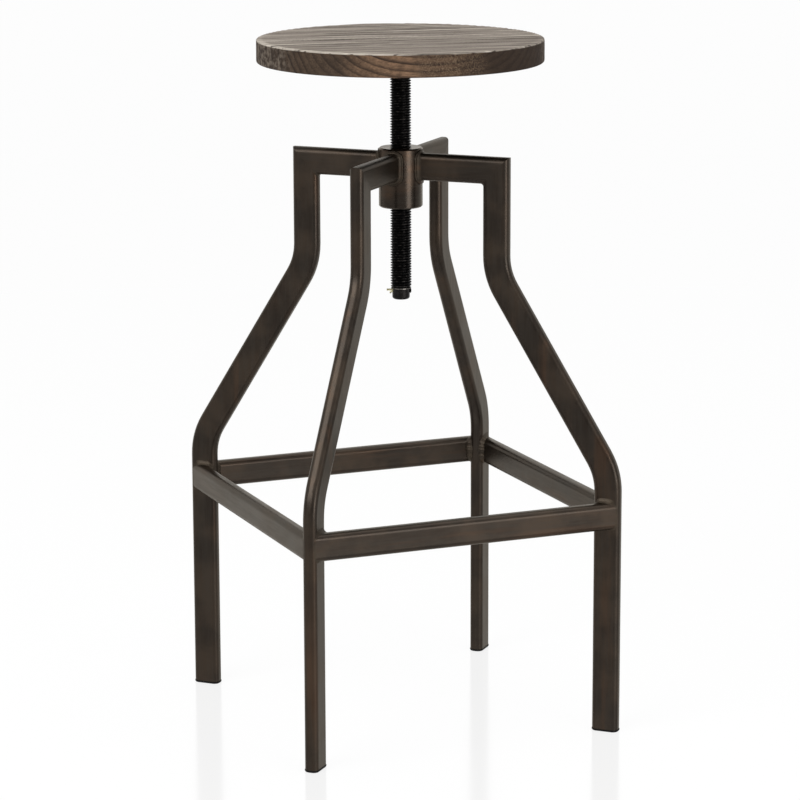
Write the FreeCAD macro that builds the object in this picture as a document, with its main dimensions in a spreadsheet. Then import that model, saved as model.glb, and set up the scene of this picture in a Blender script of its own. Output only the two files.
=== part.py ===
"""A height-adjustable bar stool: a round wooden seat on a screw, carried by a welded tube frame.

Frame: millimetres, +Z up, origin on the floor under the screw. The stretchers run along X and Y,
and the legs stand on the diagonals, so "front" is the -Y side and "right" is the +X side.
"""
import FreeCAD, Part
import math
import os
import Sketcher

V = FreeCAD.Vector
UP = V(0, 0, 1)
ORIGIN = -1
START, END, CENTRE = 1, 2, 3

doc = FreeCAD.newDocument("bar_stool")

# Driving dimensions
SIZES = {
    # seat
    "seat_diameter": 325,
    "seat_thickness": 26,
    "seat_edge_radius": 2.2,
    "seat_rise": 92.5,
    # plate under the seat, and the wood screws that hold it
    "plate_diameter": 130,
    "plate_thickness": 5,
    "plate_edge_chamfer": 0.8,
    "plate_hole_margin": 15,
    "wood_screw_count": 6,
    "wood_screw_diameter": 5,
    "wood_screw_grip": 18,
    "wood_screw_point": 4,
    "wood_screw_head_diameter": 10,
    "wood_screw_head_height": 3,
    "wood_screw_slot_width": 1.2,
    "wood_screw_slot_depth": 1.5,
    # lift screw and its thread
    "screw_diameter": 24,
    "screw_pitch": 3,
    "flank_angle": 30,
    "thread_depth_in_pitches": 0.6134,
    "screw_length": 267.5,
    "screw_neck": 6,
    "dog_relief": 0.1,
    "spigot_diameter": 16,
    "screw_turn": 157.4,
    "thread_clearance": 0.25,
    "tip_radius": 3,
    # stop pin and washer at the screw's lower end
    "pin_diameter": 4.4,
    "pin_above_tip": 9.5,
    "pin_head_diameter": 5.6,
    "pin_head_height": 1.6,
    "pin_slot": 0.5,
    "pin_straight_leg": 6.2,
    "pin_bent_leg": 1.2,
    "pin_bend_radius": 1.2,
    "pin_bend_angle": 50,
    "washer_inset": 0.4,
    "washer_thickness": 1,
    # hub
    "hub_diameter": 50,
    "hub_height": 68,
    "hub_rise": 5.5,
    "hub_chamfer": 1.5,
    # tube of the frame
    "tube_width": 31,
    "tube_thickness": 16,
    "tube_corner_share": 0.4,
    "tube_wall": 1.5,
    # frame
    "arm_top": 656,
    "neck_radius": 117,
    "neck_length": 81,
    "foot_radius": 252.5,
    "bend_radius": 75,
    "knee_gap": 11.5,
    "stretcher_height": 255,
    "stretcher_setback": 3.7,
    # foot plugs
    "flange_thickness": 2.5,
    "flange_proud": 0.5,
    "flange_edge_radius": 1.8,
    "stub_length": 20,
    "stub_wall": 2,
    # clearances
    "fit_gap": 0.15,
    "running_gap": 0.3,
    "weld_gap": 0.1,
}

# Heights, radii and widths that follow from the driving dimensions
PLACES = {
    "arm_bottom": "sizes.arm_top - sizes.tube_width",
    "arm_middle": "sizes.arm_top - sizes.tube_width / 2",
    "bore_width": "sizes.tube_width - 2 * sizes.tube_wall",
    "bore_thickness": "sizes.tube_thickness - 2 * sizes.tube_wall",
    "tube_corner": "sizes.tube_corner_share * sizes.tube_thickness",
    "bore_corner": "tube_corner - sizes.tube_wall",
    "neck_inside": "sizes.neck_radius - sizes.tube_width / 2",
    "neck_outside": "sizes.neck_radius + sizes.tube_width / 2",
    "neck_low": "arm_bottom - sizes.neck_length",
    "knee_high": "sizes.stretcher_height + sizes.tube_width / 2 + sizes.knee_gap",
    "leg_outside": "sizes.foot_radius + sizes.tube_width / 2",
    "leg_side": "sizes.tube_thickness / sqrt(2)",
    "stretcher_outside": "(leg_outside - sizes.stretcher_setback + sizes.tube_thickness / 2) / sqrt(2)",
    "hub_top": "sizes.arm_top + sizes.hub_rise",
    "hub_bottom": "hub_top - sizes.hub_height",
    "plate_low": "hub_top + sizes.seat_rise",
    "seat_low": "plate_low + sizes.plate_thickness",
    "hole_circle": "sizes.plate_diameter / 2 - sizes.plate_hole_margin",
    "flank_slope": "tan(sizes.flank_angle * 1 deg)",
    "thread_depth": "sizes.thread_depth_in_pitches * sizes.screw_pitch",
    "crest_radius": "sizes.screw_diameter / 2",
    "root_radius": "crest_radius - thread_depth",
    "dog_radius": "root_radius - sizes.dog_relief",
    "screw_tip": "plate_low - sizes.screw_length",
    "pin_height": "screw_tip + sizes.pin_above_tip",
    "washer_diameter": "sizes.screw_diameter - 2 * sizes.washer_inset",
    "washer_low": "pin_height + sizes.pin_head_diameter / 2 + sizes.fit_gap",
    "thread_low": "washer_low + sizes.washer_thickness + sizes.fit_gap",
    "thread_high": "plate_low - sizes.screw_neck",
    "ridge_half_crest": "sizes.screw_pitch / 16",
    "groove_half_mouth": "sizes.screw_pitch / 2 - ridge_half_crest",
}


def fill_sheet(name, cells):
    """A sheet with one named cell for each entry."""
    sheet = doc.addObject("Spreadsheet::Sheet", name)
    for row, (alias, content) in enumerate(cells.items(), start=1):
        text = content if isinstance(content, str) else str(content)
        sheet.set(f"A{row}", alias)
        sheet.set(f"B{row}", f"={text}" if isinstance(content, str) else text)
        sheet.setAlias(f"B{row}", alias)
    doc.recompute()
    return sheet


sizes = fill_sheet("sizes", SIZES)
places = fill_sheet("places", PLACES)


def number(expression):
    """The present value of an expression of the sheets' names."""
    value = sizes.evalExpression(expression)
    return float(getattr(value, "Value", value))


def new_body(name, turn=None):
    """A body named for its piece, turned about the stool's axis by an angle in degrees."""
    body = doc.addObject("PartDesign::Body", name)
    body.Label = name
    if turn is not None:
        body.Placement.Rotation = FreeCAD.Rotation(UP, 0)
        body.setExpression(".Placement.Rotation.Angle", turn)
    return body


def sketch_on(body, role, name, lift=None):
    """A sketch on one of the body's own origin planes, raised along the plane's normal."""
    sketch = body.newObject("Sketcher::SketchObject", name)
    plane = next(f for f in body.Origin.OriginFeatures if f.Role == role)
    sketch.AttachmentSupport = [(plane, "")]
    sketch.MapMode = "FlatFace"
    if lift:
        sketch.setExpression(".AttachmentOffset.Base.z", lift)
    return sketch


def constrain(sketch, expression, kind, *what):
    """A dimension of the sketch that follows an expression."""
    index = sketch.addConstraint(Sketcher.Constraint(kind, *what, number(expression)))
    name = f"d{index}"
    sketch.renameConstraint(index, name)
    sketch.setExpression(f"Constraints.{name}", expression)


def fix_point(sketch, item, end, across, along):
    """Hold one end of an item at a place in the sketch."""
    constrain(sketch, across, "DistanceX", ORIGIN, START, item, end)
    constrain(sketch, along, "DistanceY", ORIGIN, START, item, end)


def polygon(sketch, corners):
    """A closed outline of straight lines through corners given as pairs of expressions."""
    points = [V(number(across), number(along), 0) for across, along in corners]
    first = sketch.GeometryCount
    for here, there in zip(points, points[1:] + points[:1]):
        sketch.addGeometry(Part.LineSegment(here, there), False)
    for index, (across, along) in enumerate(corners):
        before = first + (index - 1) % len(corners)
        sketch.addConstraint(Sketcher.Constraint("Coincident", before, END, first + index, START))
        fix_point(sketch, first + index, START, across, along)


def last_line(sketch):
    """The name of the sketch's last line, which closes its outline."""
    return f"Edge{sketch.GeometryCount}"


def circle(sketch, radius, across="0", along="0"):
    """A circle about a place in the sketch."""
    middle = V(number(across), number(along), 0)
    item = sketch.addGeometry(Part.Circle(middle, UP, number(radius)), False)
    fix_point(sketch, item, CENTRE, across, along)
    constrain(sketch, radius, "Radius", item)


def rounded_rectangle(sketch, width, height, radius, across="0", along="0"):
    """A rectangle with round corners about a place in the sketch."""
    half_width = number(width) / 2 - number(radius)
    half_height = number(height) / 2 - number(radius)
    first = sketch.GeometryCount
    for quarter, (right, above) in enumerate(((1, 1), (-1, 1), (-1, -1), (1, -1))):
        middle = V(number(across) + right * half_width, number(along) + above * half_height, 0)
        round_corner = Part.Circle(middle, UP, number(radius))
        begin = quarter * math.pi / 2
        sketch.addGeometry(Part.ArcOfCircle(round_corner, begin, begin + math.pi / 2), False)
    corners = range(first, first + 4)
    for quarter in range(4):
        here = corners[quarter]
        there = corners[(quarter + 1) % 4]
        ends = (sketch.Geometry[here].EndPoint, sketch.Geometry[there].StartPoint)
        side = sketch.addGeometry(Part.LineSegment(*ends), False)
        sketch.addConstraint(Sketcher.Constraint("Tangent", here, END, side, START))
        sketch.addConstraint(Sketcher.Constraint("Tangent", side, END, there, START))
        sketch.addConstraint(Sketcher.Constraint("Vertical" if quarter % 2 else "Horizontal", side))
        if quarter:
            sketch.addConstraint(Sketcher.Constraint("Equal", first, here))
    top, left, bottom, right = range(first + 4, first + 8)
    constrain(sketch, radius, "Radius", first)
    constrain(sketch, f"{across} + {width} / 2", "DistanceX", ORIGIN, START, right, START)
    constrain(sketch, f"{across} - {width} / 2", "DistanceX", ORIGIN, START, left, START)
    constrain(sketch, f"{along} + {height} / 2", "DistanceY", ORIGIN, START, top, START)
    constrain(sketch, f"{along} - {height} / 2", "DistanceY", ORIGIN, START, bottom, START)


def tube_section(sketch, width_along, across="0", along="0"):
    """The tube's wall: its outline and its bore, with the wide side along X or along Y."""
    outline = ("sizes.tube_width", "sizes.tube_thickness")
    bore = ("places.bore_width", "places.bore_thickness")
    if width_along == "Y":
        outline = outline[::-1]
        bore = bore[::-1]
    rounded_rectangle(sketch, *outline, "places.tube_corner", across, along)
    rounded_rectangle(sketch, *bore, "places.bore_corner", across, along)


def pad(body, sketch, length, both_ways=False):
    """Material along the sketch's normal."""
    feature = body.newObject("PartDesign::Pad", f"{body.Label}_pad")
    feature.Profile = sketch
    feature.setExpression("Length", length)
    if both_ways:
        feature.SideType = "Symmetric"
    doc.recompute()
    return feature


def cut(body, sketch, length, both_ways=False, reversed_way=False):
    """A pocket along the sketch's normal, which has to take some material away."""
    before = body.Shape.Volume
    feature = body.newObject("PartDesign::Pocket", f"{body.Label}_cut")
    feature.Profile = sketch
    feature.setExpression("Length", length)
    feature.Reversed = reversed_way
    if both_ways:
        feature.SideType = "Symmetric"
    doc.recompute()
    if feature.Shape.Volume >= before:
        raise RuntimeError(f"{feature.Name} takes nothing away")
    return feature


def turned(body, sketch, axis="V_Axis"):
    """A full revolution about the sketch's upright axis, or about one of its lines."""
    feature = body.newObject("PartDesign::Revolution", f"{body.Label}_turned")
    feature.Profile = sketch
    feature.ReferenceAxis = (sketch, [axis])
    feature.Angle = 360
    doc.recompute()
    return feature


def ring_edges(feature, radius, height):
    """The names of the feature's circular edges of one radius at one height."""
    names = []
    for index, edge in enumerate(feature.Shape.Edges, start=1):
        round_edge = isinstance(edge.Curve, Part.Circle)
        if round_edge and abs(edge.Curve.Radius - radius) + abs(edge.Curve.Center.z - height) < 1e-6:
            names.append(f"Edge{index}")
    return names


def edges_at(feature, height):
    """The names of the feature's edges that lie wholly at one height."""
    names = []
    for index, edge in enumerate(feature.Shape.Edges, start=1):
        box = edge.BoundBox
        if abs(box.ZMin - height) + abs(box.ZMax - height) < 1e-4:
            names.append(f"Edge{index}")
    return names


def soften(body, kind, feature, edges, size):
    """A fillet or a chamfer on named edges."""
    dressed = body.newObject(f"PartDesign::{kind}", f"{body.Label}_{kind.lower()}")
    dressed.Base = (feature, edges)
    dressed.setExpression("Radius" if kind == "Fillet" else "Size", size)
    doc.recompute()
    return dressed


def wind(body, sketch, height):
    """A right-hand helical groove cut by a profile about the sketch's upright axis."""
    before = body.Shape.Volume
    groove = body.newObject("PartDesign::SubtractiveHelix", f"{body.Label}_thread")
    groove.Profile = sketch
    groove.ReferenceAxis = (sketch, ["V_Axis"])
    groove.Mode = "pitch-height-angle"
    groove.setExpression("Pitch", "sizes.screw_pitch")
    groove.setExpression("Height", height)
    groove.LeftHanded = False
    groove.Reversed = False
    doc.recompute()
    if groove.Shape.Volume >= before:
        raise RuntimeError(f"{groove.Name} takes nothing away")
    return groove


def around(body, feature, count):
    """Copies of a feature spaced evenly about the stool's axis."""
    pattern = body.newObject("PartDesign::PolarPattern", f"{body.Label}_ring")
    axis = next(f for f in body.Origin.OriginFeatures if f.Role == "Z_Axis")
    pattern.Originals = [feature]
    pattern.Axis = (axis, [""])
    pattern.Angle = 360
    pattern.setExpression("Occurrences", count)
    body.Tip = pattern
    doc.recompute()
    return pattern


def make_seat():
    """The round wooden seat, with pilot holes for the wood screws in its underside."""
    body = new_body("seat")
    disc = sketch_on(body, "XY_Plane", "seat_outline", "places.seat_low")
    circle(disc, "sizes.seat_diameter / 2")
    slab = pad(body, disc, "sizes.seat_thickness")
    radius = number("sizes.seat_diameter / 2")
    low = number("places.seat_low")
    high = low + number("sizes.seat_thickness")
    rims = ring_edges(slab, radius, low) + ring_edges(slab, radius, high)
    soften(body, "Fillet", slab, rims, "sizes.seat_edge_radius")
    pilot = sketch_on(body, "XY_Plane", "pilot_hole", "places.seat_low")
    circle(pilot, "sizes.wood_screw_diameter / 2 + sizes.fit_gap", "places.hole_circle")
    depth = "sizes.wood_screw_grip - sizes.plate_thickness + sizes.fit_gap"
    hole = cut(body, pilot, depth, reversed_way=True)
    around(body, hole, "sizes.wood_screw_count")
    return body


def make_plate():
    """The round steel plate that the screw is welded into."""
    body = new_body("seat_plate")
    disc = sketch_on(body, "XY_Plane", "plate_outline", "places.plate_low")
    circle(disc, "sizes.plate_diameter / 2")
    circle(disc, "sizes.spigot_diameter / 2 + sizes.fit_gap")
    slab = pad(body, disc, "sizes.plate_thickness")
    low = number("places.plate_low")
    rim = ring_edges(slab, number("sizes.plate_diameter / 2"), low)
    soften(body, "Chamfer", slab, rim, "sizes.plate_edge_chamfer")
    drill = sketch_on(body, "XY_Plane", "plate_hole", "places.plate_low")
    circle(drill, "sizes.wood_screw_diameter / 2 + sizes.fit_gap", "places.hole_circle")
    hole = cut(body, drill, "sizes.plate_thickness", reversed_way=True)
    around(body, hole, "sizes.wood_screw_count")
    return body


def make_wood_screws():
    """The ring of slotted wood screws that hold the plate to the seat."""
    body = new_body("plate_screws")
    body.AllowCompound = True
    middle = "places.hole_circle"
    head = "places.hole_circle + sizes.wood_screw_head_diameter / 2"
    shank = "places.hole_circle + sizes.wood_screw_diameter / 2"
    under = "places.plate_low"
    rim = f"{under} - sizes.wood_screw_head_height / 3"
    crown = f"{under} - sizes.wood_screw_head_height"
    shoulder = "places.hole_circle + sizes.wood_screw_head_diameter / 3"
    point = f"{under} + sizes.wood_screw_grip"
    profile = sketch_on(body, "XZ_Plane", "wood_screw_profile")
    polygon(profile, [
        (middle, crown),
        (shoulder, crown),
        (head, rim),
        (head, under),
        (shank, under),
        (shank, f"{point} - sizes.wood_screw_point"),
        (middle, point),
    ])
    screw = turned(body, profile, last_line(profile))
    slot = sketch_on(body, "XY_Plane", "wood_screw_slot", crown)
    far = "places.hole_circle + sizes.wood_screw_head_diameter"
    near = "places.hole_circle - sizes.wood_screw_head_diameter"
    side = "sizes.wood_screw_slot_width / 2"
    polygon(slot, [(near, f"-{side}"), (far, f"-{side}"), (far, side), (near, side)])
    slotted = cut(body, slot, "sizes.wood_screw_slot_depth", reversed_way=True)
    pattern = around(body, screw, "sizes.wood_screw_count")
    pattern.Originals = [screw, slotted]
    doc.recompute()
    return body


def make_lift_screw():
    """The threaded spindle: a dog point with a pin hole below, a neck and a spigot above."""
    body = new_body("lift_screw", "sizes.screw_turn")
    crest = "places.crest_radius"
    dog = "places.dog_radius"
    spigot = "sizes.spigot_diameter / 2"
    slope = "places.crest_radius - places.dog_radius"
    profile = sketch_on(body, "XZ_Plane", "spindle_profile")
    polygon(profile, [
        ("0", "places.screw_tip"),
        (dog, "places.screw_tip"),
        (dog, "places.thread_low"),
        (crest, f"places.thread_low + {slope}"),
        (crest, f"places.thread_high - ({slope})"),
        (dog, "places.thread_high"),
        (dog, "places.plate_low"),
        (spigot, "places.plate_low"),
        (spigot, "places.seat_low - sizes.fit_gap"),
        ("0", "places.seat_low - sizes.fit_gap"),
    ])
    blank = turned(body, profile)
    tip = ring_edges(blank, number(dog), number("places.screw_tip"))
    soften(body, "Fillet", blank, tip, "sizes.tip_radius")
    drill = sketch_on(body, "YZ_Plane", "pin_hole")
    circle(drill, "sizes.pin_diameter / 2 + sizes.fit_gap", "0", "places.pin_height")
    cut(body, drill, "sizes.screw_diameter", both_ways=True)
    groove = sketch_on(body, "XZ_Plane", "spindle_groove")
    start = "places.thread_low - sizes.screw_pitch"
    reach = "sizes.running_gap"
    mouth = f"places.groove_half_mouth + {reach} * places.flank_slope"
    root = "places.groove_half_mouth - places.thread_depth * places.flank_slope"
    polygon(groove, [
        ("places.root_radius", f"{start} - ({root})"),
        (f"{crest} + {reach}", f"{start} - ({mouth})"),
        (f"{crest} + {reach}", f"{start} + {mouth}"),
        ("places.root_radius", f"{start} + {root}"),
    ])
    wind(body, groove, "places.thread_high - places.thread_low + 2 * sizes.screw_pitch")
    return body


def make_hub():
    """The collar that carries the arms, threaded inside for the spindle."""
    body = new_body("hub", "sizes.screw_turn")
    bore = "places.root_radius + 2 * sizes.thread_clearance"
    crest = "places.crest_radius + sizes.thread_clearance"
    wall = "sizes.hub_diameter / 2"
    bevel = "sizes.hub_chamfer"
    lead_in = f"({crest}) - ({bore})"
    profile = sketch_on(body, "XZ_Plane", "hub_profile")
    polygon(profile, [
        (crest, "places.hub_bottom"),
        (f"{wall} - {bevel}", "places.hub_bottom"),
        (wall, f"places.hub_bottom + {bevel}"),
        (wall, f"places.hub_top - {bevel}"),
        (f"{wall} - {bevel}", "places.hub_top"),
        (crest, "places.hub_top"),
        (bore, f"places.hub_top - ({lead_in})"),
        (bore, f"places.hub_bottom + {lead_in}"),
    ])
    turned(body, profile)
    groove = sketch_on(body, "XZ_Plane", "hub_groove")
    # the groove starts a whole number of turns and a half from the spindle's, so the two mesh
    turns = "floor((places.hub_bottom - places.thread_low) / sizes.screw_pitch)"
    start = f"places.thread_low + ({turns} - 1.5) * sizes.screw_pitch"
    play = "sizes.thread_clearance / cos(sizes.flank_angle * 1 deg)"
    inside = f"({bore}) - sizes.running_gap"
    half_crest = f"places.ridge_half_crest + {play} - sizes.thread_clearance * places.flank_slope"
    half_mouth = f"{half_crest} + (({crest}) - ({inside})) * places.flank_slope"
    polygon(groove, [
        (inside, f"{start} - ({half_mouth})"),
        (crest, f"{start} - ({half_crest})"),
        (crest, f"{start} + {half_crest}"),
        (inside, f"{start} + {half_mouth}"),
    ])
    wind(body, groove, "sizes.hub_height + 4 * sizes.screw_pitch")
    return body


def round_segment(sketch, radius, along, chord, below):
    """The part of a disc that lies above or below a level chord."""
    middle = V(0, number(along), 0)
    reach = math.asin((number(chord) - number(along)) / number(radius))
    angles = (math.pi - reach, 2 * math.pi + reach) if below else (reach, math.pi - reach)
    arc = Part.ArcOfCircle(Part.Circle(middle, UP, number(radius)), *angles)
    bow = sketch.addGeometry(arc, False)
    string = sketch.addGeometry(Part.LineSegment(arc.EndPoint, arc.StartPoint), False)
    sketch.addConstraint(Sketcher.Constraint("Coincident", bow, END, string, START))
    sketch.addConstraint(Sketcher.Constraint("Coincident", string, END, bow, START))
    sketch.addConstraint(Sketcher.Constraint("Horizontal", string))
    fix_point(sketch, bow, CENTRE, "0", along)
    constrain(sketch, radius, "Radius", bow)
    constrain(sketch, chord, "DistanceY", ORIGIN, START, string, START)


def bent_leg_path(sketch, start, level):
    """A line that leaves level, turns down round a bend and runs on straight."""
    bend = number("sizes.pin_bend_radius")
    angle = math.radians(number("sizes.pin_bend_angle"))
    middle = V(number(start), number(level) - bend, 0)
    arc = Part.ArcOfCircle(Part.Circle(middle, UP, bend), math.pi / 2 - angle, math.pi / 2)
    turn = sketch.addGeometry(arc, False)
    ahead = V(math.cos(angle), -math.sin(angle), 0) * number("sizes.pin_bent_leg")
    run = sketch.addGeometry(Part.LineSegment(arc.StartPoint, arc.StartPoint + ahead), False)
    sketch.addConstraint(Sketcher.Constraint("Tangent", turn, START, run, START))
    fix_point(sketch, turn, END, start, level)
    constrain(sketch, start, "DistanceX", ORIGIN, START, turn, CENTRE)
    constrain(sketch, "sizes.pin_bend_radius", "Radius", turn)
    constrain(sketch, "sizes.pin_bent_leg", "Distance", run)
    constrain(sketch, "-sizes.pin_bend_angle * 1 deg", "Angle", run)


def make_stop_pin():
    """The pin through the dog point: a round head, and an end split into a straight and a bent leg."""
    body = new_body("stop_pin", "sizes.screw_turn")
    shank = "sizes.pin_diameter / 2"
    level = "places.pin_height"
    head_face = "-(places.dog_radius + sizes.fit_gap)"
    head_back = f"{head_face} - sizes.pin_head_height"
    split = "places.dog_radius + sizes.fit_gap"
    profile = sketch_on(body, "XZ_Plane", "pin_profile")
    polygon(profile, [
        (head_back, level),
        (head_back, f"{level} + sizes.pin_head_diameter / 3"),
        (f"{head_back} + sizes.pin_head_height / 2", f"{level} + sizes.pin_head_diameter / 2"),
        (head_face, f"{level} + sizes.pin_head_diameter / 2"),
        (head_face, f"{level} + {shank}"),
        (split, f"{level} + {shank}"),
        (split, level),
    ])
    turned(body, profile, last_line(profile))
    upper = sketch_on(body, "YZ_Plane", "pin_straight_leg", split)
    round_segment(upper, shank, level, f"{level} + sizes.pin_slot / 2", below=False)
    pad(body, upper, "sizes.pin_straight_leg")
    lower = sketch_on(body, "YZ_Plane", "pin_bent_leg", split)
    round_segment(lower, shank, level, f"{level} - sizes.pin_slot / 2", below=True)
    path = sketch_on(body, "XZ_Plane", "pin_bent_leg_path")
    bent_leg_path(path, split, f"{level} - {shank}")
    doc.recompute()
    leg = body.newObject("PartDesign::AdditivePipe", "pin_bent_leg_pipe")
    leg.Profile = lower
    leg.Spine = path
    doc.recompute()
    return body


def make_stop_washer():
    """The loose washer between the thread and the stop pin."""
    body = new_body("stop_washer")
    ring = sketch_on(body, "XY_Plane", "washer_outline", "places.washer_low")
    circle(ring, "places.washer_diameter / 2")
    circle(ring, "places.dog_radius + sizes.running_gap")
    pad(body, ring, "sizes.washer_thickness")
    return body


def make_arm(name, turn):
    """A radial tube from the hub to a leg, coped round the hub and mitred at the leg."""
    body = new_body(name, turn)
    section = sketch_on(body, "YZ_Plane", f"{name}_section")
    tube_section(section, "Y", "0", "places.arm_middle")
    pad(body, section, "places.neck_outside")
    mitre = sketch_on(body, "XZ_Plane", f"{name}_mitre")
    polygon(mitre, [
        ("places.neck_inside", "places.arm_bottom"),
        ("places.neck_outside", "places.arm_bottom"),
        ("places.neck_outside", "sizes.arm_top"),
    ])
    cut(body, mitre, "2 * sizes.tube_thickness", both_ways=True)
    cope = sketch_on(body, "XY_Plane", f"{name}_cope")
    circle(cope, "sizes.hub_diameter / 2 + sizes.weld_gap")
    cut(body, cope, "3 * sizes.arm_top", both_ways=True)
    return body


def leg_path(sketch):
    """A leg's centre line from the foot up: upright, in over the knee, up the slope, upright at the neck."""
    low, high = "places.knee_high", "places.neck_low"
    foot, neck, bend = (number(f"sizes.{word}") for word in ("foot_radius", "neck_radius", "bend_radius"))
    knee_middle = V(foot - bend, number(low), 0)
    neck_middle = V(neck + bend, number(high), 0)
    apart = neck_middle - knee_middle
    lean = math.atan2(apart.y, apart.x) - math.acos(2 * bend / apart.Length)
    out = V(math.cos(lean), math.sin(lean), 0) * bend
    bottom = V(foot, number("sizes.flange_thickness"), 0)
    top = V(neck, number("sizes.arm_top"), 0)
    shank = sketch.addGeometry(Part.LineSegment(bottom, V(foot, number(low), 0)), False)
    knee = sketch.addGeometry(Part.ArcOfCircle(Part.Circle(knee_middle, UP, bend), 0, lean), False)
    slope = sketch.addGeometry(Part.LineSegment(knee_middle + out, neck_middle - out), False)
    upper = Part.ArcOfCircle(Part.Circle(neck_middle, UP, bend), math.pi, math.pi + lean)
    shoulder = sketch.addGeometry(upper, False)
    rise = sketch.addGeometry(Part.LineSegment(V(neck, number(high), 0), top), False)
    for joint in (
        (shank, END, knee, START),
        (knee, END, slope, START),
        (slope, END, shoulder, END),
        (shoulder, START, rise, START),
    ):
        sketch.addConstraint(Sketcher.Constraint("Tangent", *joint))
    for line in (shank, rise):
        sketch.addConstraint(Sketcher.Constraint("Vertical", line))
    for arc in (knee, shoulder):
        constrain(sketch, "sizes.bend_radius", "Radius", arc)
    fix_point(sketch, shank, START, "sizes.foot_radius", "sizes.flange_thickness")
    constrain(sketch, low, "DistanceY", ORIGIN, START, shank, END)
    constrain(sketch, high, "DistanceY", ORIGIN, START, rise, START)
    fix_point(sketch, rise, END, "sizes.neck_radius", "sizes.arm_top")


def make_leg(name, turn):
    """A bent tube leg, mitred at the top to meet its arm."""
    body = new_body(name, turn)
    path = sketch_on(body, "XZ_Plane", f"{name}_path")
    leg_path(path)
    section = sketch_on(body, "XY_Plane", f"{name}_section", "sizes.flange_thickness")
    tube_section(section, "X", "sizes.foot_radius")
    doc.recompute()
    pipe = body.newObject("PartDesign::AdditivePipe", f"{name}_pipe")
    pipe.Profile = section
    pipe.Spine = path
    doc.recompute()
    mitre = sketch_on(body, "XZ_Plane", f"{name}_mitre")
    polygon(mitre, [
        ("places.neck_inside", "places.arm_bottom"),
        ("places.neck_outside", "sizes.arm_top"),
        ("places.neck_inside", "sizes.arm_top"),
    ])
    cut(body, mitre, "2 * sizes.tube_thickness", both_ways=True)
    return body


def make_stretcher(name, turn):
    """A footrest tube between two legs, its ends cut to lie flat on the legs' sides."""
    body = new_body(name, turn)
    middle = "places.stretcher_outside - sizes.tube_thickness / 2"
    section = sketch_on(body, "YZ_Plane", f"{name}_section")
    tube_section(section, "Y", f"-({middle})", "sizes.stretcher_height")
    pad(body, section, "4 * places.stretcher_outside", both_ways=True)
    far = "2 * places.stretcher_outside + sizes.tube_width"
    outer = "places.stretcher_outside + sizes.tube_thickness"
    inner = "places.stretcher_outside - 2 * sizes.tube_thickness"
    ends = sketch_on(body, "XY_Plane", f"{name}_ends", "sizes.stretcher_height")
    for side in ("", "-"):
        polygon(ends, [
            (f"{side}({outer} - places.leg_side)", f"-({outer})"),
            (f"{side}({far})", f"-({outer})"),
            (f"{side}({far})", f"-({inner})"),
            (f"{side}({inner} - places.leg_side)", f"-({inner})"),
        ])
    cut(body, ends, "2 * sizes.tube_width", both_ways=True)
    return body


def make_foot_plug(name, turn):
    """A plastic plug: a flange under the tube's end and a hollow stub inside it."""
    body = new_body(name, turn)
    base = sketch_on(body, "XY_Plane", f"{name}_flange")
    rounded_rectangle(
        base,
        "(sizes.tube_width + 2 * sizes.flange_proud)",
        "(sizes.tube_thickness + 2 * sizes.flange_proud)",
        "places.tube_corner + sizes.flange_proud",
        "sizes.foot_radius",
    )
    flange = pad(body, base, "sizes.flange_thickness")
    soften(body, "Fillet", flange, edges_at(flange, 0), "sizes.flange_edge_radius")
    stub = sketch_on(body, "XY_Plane", f"{name}_stub", "sizes.flange_thickness")
    play = "2 * sizes.fit_gap"
    rounded_rectangle(
        stub,
        f"(places.bore_width - {play})",
        f"(places.bore_thickness - {play})",
        "places.bore_corner - sizes.fit_gap",
        "sizes.foot_radius",
    )
    pad(body, stub, "sizes.stub_length")
    hollow = sketch_on(body, "XY_Plane", f"{name}_hollow", "sizes.flange_thickness + sizes.stub_length")
    walls = "2 * (sizes.fit_gap + sizes.stub_wall)"
    rounded_rectangle(
        hollow,
        f"(places.bore_width - {walls})",
        f"(places.bore_thickness - {walls})",
        "places.bore_corner - sizes.fit_gap - sizes.stub_wall",
        "sizes.foot_radius",
    )
    cut(body, hollow, "sizes.stub_length")
    return body


# Each leg, arm and foot stands on a diagonal; each stretcher is named for the side it lies on
CORNERS = {"back_right": 45, "back_left": 135, "front_left": 225, "front_right": 315}
SIDES = {"front": 0, "right": 90, "back": 180, "left": 270}

pieces = [
    make_seat(),
    make_plate(),
    make_wood_screws(),
    make_lift_screw(),
    make_stop_pin(),
    make_stop_washer(),
    make_hub(),
]
for corner, turn in CORNERS.items():
    pieces.append(make_arm(f"arm_{corner}", str(turn)))
    pieces.append(make_leg(f"leg_{corner}", str(turn)))
    pieces.append(make_foot_plug(f"foot_plug_{corner}", str(turn)))
for side, turn in SIDES.items():
    pieces.append(make_stretcher(f"stretcher_{side}", str(turn)))
doc.recompute()

for item in doc.Objects:
    if {"Invalid", "Error"} & set(item.State):
        raise RuntimeError(f"{item.Label} failed: {item.State}")
for piece in pieces:
    if piece.Shape.isNull() or not piece.Shape.isValid():
        raise RuntimeError(f"{piece.Label} has no sound shape")

os.makedirs("parts", exist_ok=True)
for piece in pieces:
    piece.Shape.exportStep(f"parts/{piece.Label}.step")
    box = piece.Shape.BoundBox
    print(f"{piece.Label}: {len(piece.Shape.Solids)} solid(s), {piece.Shape.Volume:.0f} mm3,"
          f" z {box.ZMin:.1f} to {box.ZMax:.1f}")
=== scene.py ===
"""Looks of a bar stool: a brushed wooden seat on a black screw, in a welded frame of bronzed steel tube."""
import logging
import math
import random
from collections.abc import Iterable
from dataclasses import dataclass
from enum import Enum

import bmesh
import bpy
from mathutils import Euler, Matrix, Vector, noise


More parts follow.
